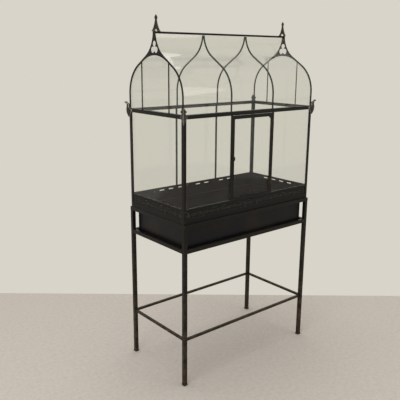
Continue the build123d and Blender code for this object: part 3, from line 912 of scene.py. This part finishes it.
@dataclass
class BaseBand:
    """Cast base panels with their running scrolls, rosettes and corner work."""

    finishes: Palette
    plan: CasePlan
    face_inset: float = 1.8 * MM
    plinth_inset: float = 0.2 * MM
    vine_z: float = 35.0 * MM
    wave: float = 4.6 * MM
    pitch: float = 30.0 * MM
    stem: float = 1.15 * MM
    rosette: float = 6.2 * MM
    rosette_z: float = 24.5 * MM
    front_rosettes: tuple[float, ...] = (35 * MM, 259 * MM)
    end_rosettes: tuple[float, ...] = (62 * MM,)
    pearl: float = 1.15 * MM
    pearl_gap: float = 5.2 * MM
    screw: float = 2.4 * MM
    screw_heights: tuple[float, float] = (11 * MM, 50 * MM)
    # Beside a post: each volute's height, way of winding and radius, and the leaves' root.
    post_volutes: tuple[tuple[float, int, float], ...] = ((33 * MM, 1, 7.0 * MM), (45 * MM, -1, 4.2 * MM))
    post_leaf_root: tuple[float, float] = (4 * MM, 27 * MM)
    # Half a leaf's section, from its rim to its ridge: share across and lift.
    leaf_section: tuple[tuple[float, float], ...] = ((1, -0.3), (0.6, 0.55), (0.2, 0.75))
    # A rosette from its rim to its eye: share of its radius, then height in millimetres.
    petals: tuple[tuple[float, float], ...] = (
        (1, -1.4), (1, 0.35), (0.86, 1.0), (0.62, 1.15),
        (0.42, 0.65), (0.34, 0.85), (0.22, 1.7), (0.04, 1.9),
    )

    def spot(self, side: Side, along: float, up: float, inset: float) -> Vector:
        """A point on a panel.

        Args:
            side: Which panel.
            along: Distance along it from its middle.
            up: Height over its foot.
            inset: Distance in from the case's outer plane.

        Returns:
            The point, in metres.
        """
        reach = self.plan.half_width if side.outward.x == 0 else self.plan.half_length
        base = Vector((0, 0, self.plan.band_low + up))
        return base + side.along * along + side.outward * (reach - inset)

    def volute(
        self, work: Work, side: Side, centre: tuple[float, float], start: float, spin: int, size: float,
        inset: float, turns: float = 1.35,
    ) -> None:
        """One spiral arm with a bud at its eye.

        Args:
            work: The piece that it joins.
            side: Which panel.
            centre: Along and up of the eye.
            start: Angle where the arm begins.
            spin: 1 or -1, the way that it winds.
            size: Radius at its outer end.
            inset: Distance in from the case's outer plane.
            turns: How far it winds.
        """
        count = 30
        path = []
        for k in range(count + 1):
            share = k / count
            reach = size * (1 - 0.82 * share**0.8)
            angle = start + spin * TURN * turns * share
            along, up = centre[0] + reach * math.cos(angle), centre[1] + reach * math.sin(angle)
            path.append(self.spot(side, along, up, inset))
        work.rod(path, lambda s: self.stem * (1.05 - 0.45 * s), 6, flat=(side.outward, 1.1))
        eye = facing_out(self.spot(side, *centre, inset), side.outward)
        bud = 0.26 * size
        work.turned([(bud, 0), (bud * 0.95, bud * 0.4), (bud * 0.6, bud * 0.8), (bud * 0.1, bud)], eye, 12)

    def leaf(
        self, work: Work, side: Side, root: tuple[float, float], angle: float, size: float, inset: float
    ) -> None:
        """A small pointed leaf lying on the panel, ridged down its middle.

        Args:
            work: The piece that it joins.
            side: Which panel.
            root: Along and up of its stalk end.
            angle: The way that it points.
            size: Its length.
            inset: Distance in from the case's outer plane.
        """
        near = [(-across, lift) for across, lift in self.leaf_section]
        section = [*near, (0, 1.25), *reversed(self.leaf_section)]
        rings = []
        steps = 9
        for k in range(steps + 1):
            share = k / steps
            half = 0.27 * size * math.sin(math.pi * (0.06 + 0.94 * share) ** 0.75) + 0.05 * MM
            rise = 0.55 * half + 0.15 * MM
            centre = (root[0] + size * share * math.cos(angle), root[1] + size * share * math.sin(angle))
            ring = []
            for across, lift in section:
                along = centre[0] - across * half * math.sin(angle)
                up = centre[1] + across * half * math.cos(angle)
                ring.append(self.spot(side, along, up, inset - rise * lift))
            rings.append(ring)
        work.loft(rings)

    def vine(self, work: Work, side: Side, half: float) -> None:
        """A waving stem along the panel with a volute and three leaves in every bend.

        Args:
            work: The piece that it joins.
            side: Which panel.
            half: Half of the vine's length.
        """
        bends = max(2, round(2 * half / self.pitch))
        pitch = 2 * half / bends
        inset = self.face_inset
        count = bends * 16
        path = []
        for k in range(count + 1):
            along = -half + 2 * half * k / count
            up = self.vine_z + self.wave * math.sin(math.pi * (along + half) / pitch)
            path.append(self.spot(side, along, up, inset))
        work.rod(path, self.stem, 6, flat=(side.outward, 1.1))
        for bend in range(bends):
            way = 1 if bend % 2 == 0 else -1
            along = -half + pitch * (bend + 0.5)
            centre = (along + 0.08 * pitch, self.vine_z - way * 1.6 * MM)
            self.volute(work, side, centre, math.pi if way > 0 else -math.pi, way, 0.185 * pitch, inset)
            for turn, size in ((0.75, 0.30), (1.55, 0.24), (2.5, 0.22)):
                root = (along - 0.30 * pitch, self.vine_z - way * 1.0 * MM)
                self.leaf(work, side, root, -way * turn, size * pitch, inset)

    def flower(self, work: Work, side: Side, along: float) -> None:
        """An eight-petalled rosette over the plinth's upper edge.

        Args:
            work: The piece that it joins.
            side: Which panel.
            along: Its distance along the panel.
        """
        place = facing_out(self.spot(side, along, self.rosette_z, self.plinth_inset), side.outward)
        rings = []
        sides = 64
        for share, lift in self.petals:
            ring = []
            for k in range(sides):
                angle = TURN * k / sides
                petal = abs(math.cos(4 * angle)) if share > 0.4 else 1.0
                reach = self.rosette * share * (0.84 + 0.16 * petal)
                height = lift * MM * (0.55 + 0.45 * petal if lift > 0 else 1)
                ring.append(place @ Vector((reach * math.cos(angle), reach * math.sin(angle), height)))
            rings.append(ring)
        work.loft(rings)

    def corner(self, work: Work, side: Side, along: float, way: int) -> None:
        """Acanthus scrolls beside a corner post.

        Args:
            work: The piece that it joins.
            side: Which panel.
            along: Where the post ends.
            way: 1 where the ornament grows towards the panel's middle along +, else -1.
        """
        inset = self.face_inset
        for up, spin, size in self.post_volutes:
            centre = (along + way * (size + 3 * MM), up)
            self.volute(work, side, centre, 0.0 if way > 0 else math.pi, spin * way, size, inset, 1.6)
        for k in range(5):
            angle = (0.15 + 0.42 * k) if way > 0 else math.pi - (0.15 + 0.42 * k)
            root = (along + way * self.post_leaf_root[0], self.post_leaf_root[1])
            self.leaf(work, side, root, angle, (17 - 1.8 * k) * MM, inset)

    def beads(self, work: Work, side: Side, half: float) -> None:
        """A row of pearls along the panel's top moulding.

        Args:
            work: The piece that it joins.
            side: Which panel.
            half: Half of the row's length.
        """
        pearl = self.pearl
        dome = [(pearl, -0.3 * MM), (pearl, 0.1 * MM), (0.7 * pearl, 0.7 * pearl), (0.1 * pearl, pearl)]
        count = int(2 * half / self.pearl_gap)
        top = self.plan.band_high - self.plan.band_low - 3.2 * MM
        for k in range(count + 1):
            along = (k - count / 2) * self.pearl_gap
            place = facing_out(self.spot(side, along, top, self.plinth_inset + 0.2 * MM), side.outward)
            work.turned(dome, place, 8)

    def screws(self, work: Work, side: Side, half: float) -> None:
        """Screws that hold the panel's ends to the posts.

        Args:
            work: The piece that it joins.
            side: Which panel.
            half: Half of the case along this side.
        """
        for way in (-1, 1):
            for up in self.screw_heights:
                spot = self.spot(side, way * (half - self.plan.post / 2), up, 0.0)
                recessed_screw(work, facing_out(spot, side.outward), self.screw)

    def build(self) -> None:
        """Dress the panels and lay the relief on each."""
        dress([f"band_panel_{side.node}" for side in Side], self.finishes.cast)
        for side in Side:
            half = self.plan.half_length if side.outward.x == 0 else self.plan.half_width
            inner = half - self.plan.post - 1 * MM
            relief, fixings = Work(), Work()
            self.vine(relief, side, inner - 24 * MM)
            self.beads(relief, side, inner - 2 * MM)
            places = self.front_rosettes if side.outward.x == 0 else self.end_rosettes
            for along in places:
                self.flower(relief, side, along)
                self.flower(relief, side, -along)
            for way in (-1, 1):
                self.corner(relief, side, -way * inner, way)
            relief.piece(f"band_relief_{side.node}", self.finishes.relief, Body.CASE, Slot.CAST, 50)
            self.screws(fixings, side, half)
            fixings.piece(f"band_screws_{side.node}", self.finishes.fitting, Body.CASE, Slot.FITTING)


def recessed_screw(work: Work, place: Matrix, radius: float) -> None:
    """A low domed screw head with a round recess.

    Args:
        work: The piece that it joins.
        place: On the surface, Z out of it.
        radius: Radius of the head.
    """
    dome = [(1.0, -0.2), (1.0, 0.12), (0.92, 0.30), (0.74, 0.44), (0.52, 0.50)]
    profile = [(r * radius, h * radius) for r, h in dome]
    work.turned([*profile, (0.48 * radius, 0.12 * radius), (0.03 * radius, 0.10 * radius)], place, 18)


@dataclass
class CaseFrame:
    """Posts, eave rails and mullions."""

    finishes: Palette

    def build(self) -> None:
        """Finish the rolled sections."""
        starts = ("corner_post_", "eave_rail_", "mullion_")
        dress([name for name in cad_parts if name.startswith(starts)], self.finishes.case)


@dataclass
class Glazing:
    """Every pane of the walls and roof."""

    finishes: Palette

    def build(self) -> None:
        """Finish the glass."""
        glass = self.finishes.glass
        dress(["front_panes", "back_panes", "door_glass"], glass[Facing.Y])
        dress(["end_panes", "gable_panes_left", "gable_panes_right"], glass[Facing.X])
        dress(["roof_panes_front", "roof_panes_back"], glass[Facing.ROOF])


@dataclass
class RoofFrame:
    """Gable frames, ribs, glazing bars and the ridge bar."""

    finishes: Palette

    def build(self) -> None:
        """Finish the roof's metal."""
        starts = ("gable_frame_", "roof_rib_", "gable_glazing_bars", "ridge_bar")
        dress([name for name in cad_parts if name.startswith(starts)], self.finishes.case)


@dataclass
class Finial:
    """A four-sided spire on four splayed feet, with a spear knob on top."""

    finishes: Palette
    plan: CasePlan
    foot: float = 19.3 * MM
    arch: float = 4.6 * MM
    arch_height: float = 8.8 * MM
    sides: int = 64

    def section(self, corner: float, waist: float, up: float, place: Vector) -> Ring:
        """One level of the spire: four ribs with hollows between them.

        Args:
            corner: Radius at the ribs.
            waist: Radius in the hollows, as a share of corner.
            up: Height over the seat.
            place: Middle of the seat.

        Returns:
            The ring of points.
        """
        ring = []
        for k in range(self.sides):
            angle = TURN * k / self.sides
            rib = abs(math.cos(2 * angle)) ** 2.4
            reach = corner * (waist + (1 - waist) * rib)
            ring.append(place + Vector((reach * math.cos(angle), reach * math.sin(angle), up)))
        return ring

    def arch_cutter(self, place: Vector, turn: float) -> bpy.types.Object:
        """A gothic arch through two opposite faces of the foot.

        Args:
            place: Middle of the seat.
            turn: Heading of the tunnel.

        Returns:
            The cutter.
        """
        jamb = []
        for k in range(8):
            width = self.arch * math.cos(math.pi / 2 * (k / 8) ** 1.25) ** 0.62
            jamb.append((width, self.arch_height * (0.2 + 0.8 * k / 8)))
        mirrored = [(-width, height) for width, height in reversed(jamb)]
        outline = [*jamb, (0.0, self.arch_height), *mirrored, (-self.arch, -2 * MM), (self.arch, -2 * MM)]
        heading = Vector((math.cos(turn), math.sin(turn), 0))
        across = Vector((0, 0, 1)).cross(heading)
        rings = [
            [place + heading * end + across * x + Vector((0, 0, z)) for x, z in outline]
            for end in (-2 * self.foot, 2 * self.foot)
        ]
        return raw(Work().loft(rings), "arch_cutter")

    def build(self, name: str, side: int) -> None:
        """Make one finial in place of its packed block.

        Args:
            name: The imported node.
            side: 1 on the right gable, -1 on the left.
        """
        place = Vector((side * self.plan.finial_x, 0, self.plan.finial_seat + 0.2 * MM))
        tall = self.plan.finial_height - 0.4 * MM
        # Height as a share of the whole, rib radius in millimetres, waist share.
        steps = (
            (0.000, 19.2, 0.74), (0.022, 19.3, 0.74), (0.045, 19.0, 0.72), (0.060, 16.6, 0.72),
            (0.090, 15.9, 0.70), (0.150, 13.9, 0.68), (0.235, 11.5, 0.66), (0.340, 9.2, 0.66),
            (0.460, 7.1, 0.68), (0.590, 5.3, 0.70), (0.690, 4.2, 0.78), (0.715, 5.6, 0.90),
            (0.735, 5.8, 0.94), (0.755, 4.6, 0.86), (0.775, 5.4, 0.74), (0.805, 7.4, 0.66),
            (0.830, 7.4, 0.66), (0.875, 5.4, 0.66), (0.930, 3.2, 0.68), (0.975, 1.4, 0.74),
            (1.000, 0.25, 0.9),
        )
        rings = [self.section(r * MM, waist, share * tall, place) for share, r, waist in steps]
        made = raw(Work().loft(rings), f"{name}_casting")
        carved(made, [self.arch_cutter(place, turn) for turn in (TURN / 8, -TURN / 8)])
        settle(made, self.finishes.spire, Body.CASE, 42)
        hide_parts(name)


@dataclass
class CornerLeaf:
    """A folded, fluted leaf over an eave corner, its tip rolled outward."""

    finishes: Palette
    plan: CasePlan
    rows: int = 72
    columns: int = 28
    edge: float = 1.5 * MM
    thick: float = 3.2 * MM
    flute: float = 1.3 * MM
    # Along the spine, in millimetres: distance out, height and half-width, then the edge's fold.
    spine: tuple[tuple[float, float, float, float], ...] = (
        (1.6, -36.0, 0.9, 1.0),
        (3.6, -31.5, 4.4, 1.0),
        (6.2, -26.0, 7.4, 1.0),
        (8.6, -19.0, 10.0, 1.0),
        (10.0, -11.5, 13.0, 1.0),
        (10.2, -4.0, 13.4, 1.0),
        (9.4, 2.2, 10.6, 0.92),
        (8.4, 7.2, 7.6, 0.72),
        (8.2, 11.0, 11.3, 0.62),
        (8.4, 14.2, 11.4, 0.58),
        (9.0, 17.2, 8.2, 0.50),
        (10.2, 20.0, 6.6, 0.42),
        (12.4, 22.6, 7.2, 0.36),
        (15.0, 23.8, 6.6, 0.32),
        (16.8, 22.8, 4.6, 0.30),
        (17.3, 20.6, 1.4, 0.30),
    )

    def station(self, share: float) -> tuple[float, float, float, float]:
        """Spine numbers at a share of its length, in metres but for the fold."""
        out, up, half, fold = eased(self.spine, share)
        return out * MM, up * MM, half * MM, fold

    def grid(self, share: float) -> tuple[Ring, Ring]:
        """Front and back points of one row, as out, across and up.

        Args:
            share: Where the row is along the spine.

        Returns:
            The front row and the back row.
        """
        step = 0.004
        out, up, half, fold = self.station(share)
        ahead, behind = self.station(min(1, share + step)), self.station(max(0, share - step))
        tangent = Vector((ahead[0] - behind[0], 0, ahead[1] - behind[1])).normalized()
        normal = Vector((tangent.z, 0, -tangent.x))
        lobe = 1 + 0.07 * math.cos(TURN * 9 * share) * math.sin(math.pi * share)
        front, back = [], []
        for column in range(self.columns + 1):
            s = 2 * column / self.columns - 1
            across = half * s * lobe
            # On the walls the edges fold right back to the metal; above them the blade stands free.
            free = min(max((up + 5 * MM) / (13 * MM), 0), 1)
            free = free * free * (3 - 2 * free)
            wrapped, open_fold = out + half - self.edge, half * fold * 1.25
            drop = (wrapped + (open_fold - wrapped) * free) * abs(s) ** 1.35
            flute = 1 + 0.5 * math.cos(3 * math.pi * abs(s)) * (1 - abs(s) ** 3)
            vein = 1.25 * MM * math.exp(-((s / 0.10) ** 2))
            ripple = self.flute * flute + vein
            spot = Vector((out, across, up)) - normal * drop
            front.append(spot + normal * ripple * math.sin(math.pi * (0.04 + 0.92 * share)) ** 0.4)
            thickness = self.thick * (1 - 0.55 * abs(s)) * (1 - 0.45 * share)
            rear = spot - normal * thickness
            if up < 0.4 * MM:
                rear.x = max(rear.x, 0.05 * MM - abs(across))
            back.append(rear)
        return front, back

    def build(self) -> None:
        """Make the four leaves in place of their packed blocks."""
        work = Work()
        for sx in (-1, 1):
            for sy in (-1, 1):
                corner = Vector((sx * self.plan.half_length, sy * self.plan.half_width, self.plan.eave_top))
                outward = Vector((sx, sy, 0)).normalized()
                across = Vector((0, 0, 1)).cross(outward)
                rings = []
                for row in range(self.rows + 1):
                    front, back = self.grid(row / self.rows)
                    ring = front + back[::-1]
                    rings.append([corner + outward * p.x + across * p.y + Vector((0, 0, p.z)) for p in ring])
                work.loft(rings)
        made = work.piece("corner_leaf_castings", self.finishes.leaf, Body.CASE, Slot.CAST, 70)
        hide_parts("corner_leaves")


@dataclass
class Door:
    """Door frame, hinges and thumb turn."""

    finishes: Palette
    screw: float = 1.35 * MM
    leaf: float = 1.0 * MM
    leaf_height: float = 26 * MM
    screw_inset: float = 3.0 * MM

    def hinge_screws(self, node: str, name: str, body: Body) -> None:
        """Screw heads on the leaves of one side of the joint.

        Args:
            node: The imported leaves.
            name: The new piece.
            body: What it rides on.
        """
        low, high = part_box(node)
        pins_low, pins_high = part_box("hinge_pins")
        axis = (pins_low.x + pins_high.x) / 2
        outer = high.x if abs(high.x - axis) > abs(low.x - axis) else low.x
        along = outer + math.copysign(self.screw_inset, axis - outer)
        face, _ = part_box("door_frame")
        work = Work()
        for base in (low.z, high.z - self.leaf_height):
            for share in (0.2, 0.8):
                spot = Vector((along, face.y - self.leaf, base + share * self.leaf_height))
                recessed_screw(work, facing_out(spot, Vector((0, -1, 0))), self.screw)
        work.piece(name, self.finishes.fitting, body, Slot.FITTING)

    def build(self) -> None:
        """Finish the door and add its screws."""
        dress(["door_frame"], self.finishes.case)
        fittings = ["hinge_leaves_case", "hinge_leaves_door", "hinge_pins", "latch_turn"]
        dress(fittings, self.finishes.fitting)
        self.hinge_screws("hinge_leaves_case", "hinge_screws_case", Body.CASE)
        self.hinge_screws("hinge_leaves_door", "hinge_screws_door", Body.DOOR)


# -------------------------------------------------------------------- the studio


@dataclass
class Studio:
    """Pale floor, soft lights and the camera."""

    eye: tuple[float, float, float] = (-1.6169, -1.7914, 1.3162)
    bearing: float = 39.7448
    tilt: float = -14.5025
    roll: float = 0.4129
    lens: float = 50.60
    sensor: float = 36.0
    air: Colour = (0.80, 0.765, 0.68)
    air_strength: float = 0.86
    floor_reach: float = 2.95
    # Each light: name, place, size, watts, colour.
    lights: tuple[tuple[str, tuple[float, float, float], float, float, Colour], ...] = (
        ("window", (-3.2, -1.4, 2.6), 2.4, 46.0, (1.0, 0.98, 0.95)),
        ("fill", (1.6, -3.4, 2.2), 2.0, 16.0, (1.0, 0.96, 0.90)),
        ("sky", (0.2, 0.6, 3.6), 2.6, 30.0, (1.0, 0.99, 0.97)),
    )

    def axes(self) -> tuple[Vector, Vector, Vector]:
        """The camera's own directions.

        Returns:
            Right, up and forward.
        """
        bearing, tilt, roll = (math.radians(a) for a in (self.bearing, self.tilt, self.roll))
        forward = Vector((
            math.sin(bearing) * math.cos(tilt), math.cos(bearing) * math.cos(tilt), math.sin(tilt)
        ))
        level = Vector((math.cos(bearing), -math.sin(bearing), 0))
        upright = level.cross(forward)
        right = level * math.cos(roll) + upright * math.sin(roll)
        return right, right.cross(forward), forward

    def camera(self) -> None:
        """Set up the camera."""
        data = bpy.data.cameras.new("camera")
        data.lens, data.sensor_width = self.lens, self.sensor
        made = bpy.data.objects.new("camera", data)
        bpy.context.scene.collection.objects.link(made)
        right, up, forward = self.axes()
        turn = Matrix((right, up, -forward)).transposed().to_4x4()
        made.matrix_world = Matrix.Translation(self.eye) @ turn
        bpy.context.scene.camera = made

    def floor(self) -> None:
        """Lay the floor, square to the camera, ending a little behind the object."""
        bearing = math.radians(self.bearing)
        ahead = Vector((math.sin(bearing), math.cos(bearing), 0))
        aside = Vector((ahead.y, -ahead.x, 0))
        start = Vector((self.eye[0], self.eye[1], 0))
        corners = [
            start + ahead * a + aside * b
            for a, b in ((-1.5, -4), (-1.5, 4), (self.floor_reach, 4), (self.floor_reach, -4))
        ]
        mesh = bpy.data.meshes.new("studio_floor")
        mesh.from_pydata([tuple(p) for p in corners], [], [(3, 2, 1, 0)])
        made = bpy.data.objects.new("studio_floor", mesh)
        bpy.context.scene.collection.objects.link(made)
        mesh.materials.append(PaleFloor().material())

    def lamps(self) -> None:
        """Hang the soft lights, all aimed at the case."""
        target = Vector((0, 0, 0.9))
        for name, place, size, watts, colour in self.lights:
            data = bpy.data.lights.new(name, "AREA")
            data.shape, data.size, data.energy, data.color = "DISK", size, watts, colour
            made = bpy.data.objects.new(name, data)
            bpy.context.scene.collection.objects.link(made)
            aim = (target - Vector(place)).to_track_quat("-Z", "Y").to_matrix().to_4x4()
            made.matrix_world = Matrix.Translation(place) @ aim

    def sky(self) -> None:
        """Fill the air with pale warm light."""
        world = bpy.data.worlds.new("studio_air")
        world.use_nodes = True
        background = world.node_tree.nodes["Background"]
        background.inputs["Color"].default_value = (*self.air, 1.0)
        background.inputs["Strength"].default_value = self.air_strength
        bpy.context.scene.world = world

    def build(self) -> None:
        """Set the whole stage."""
        self.camera()
        self.floor()
        self.lamps()
        self.sky()
        bpy.context.scene.view_settings.view_transform = "Standard"


def main() -> None:
    """Dress the frame and add every piece of work to it."""
    logging.basicConfig(level=logging.INFO, format="%(name)s: %(message)s")
    finishes = Palette.mixed()
    plan = CasePlan.read()
    Studio().build()
    Stand(finishes).build()
    PlantingTray(finishes).build()
    BaseBand(finishes, plan).build()
    CaseFrame(finishes).build()
    Glazing(finishes).build()
    RoofFrame(finishes).build()
    for name, side in (("finial_left", -1), ("finial_right", 1)):
        Finial(finishes, plan).build(name, side)
    CornerLeaf(finishes, plan).build()
    Door(finishes).build()


if __name__ == "__main__":
    main()
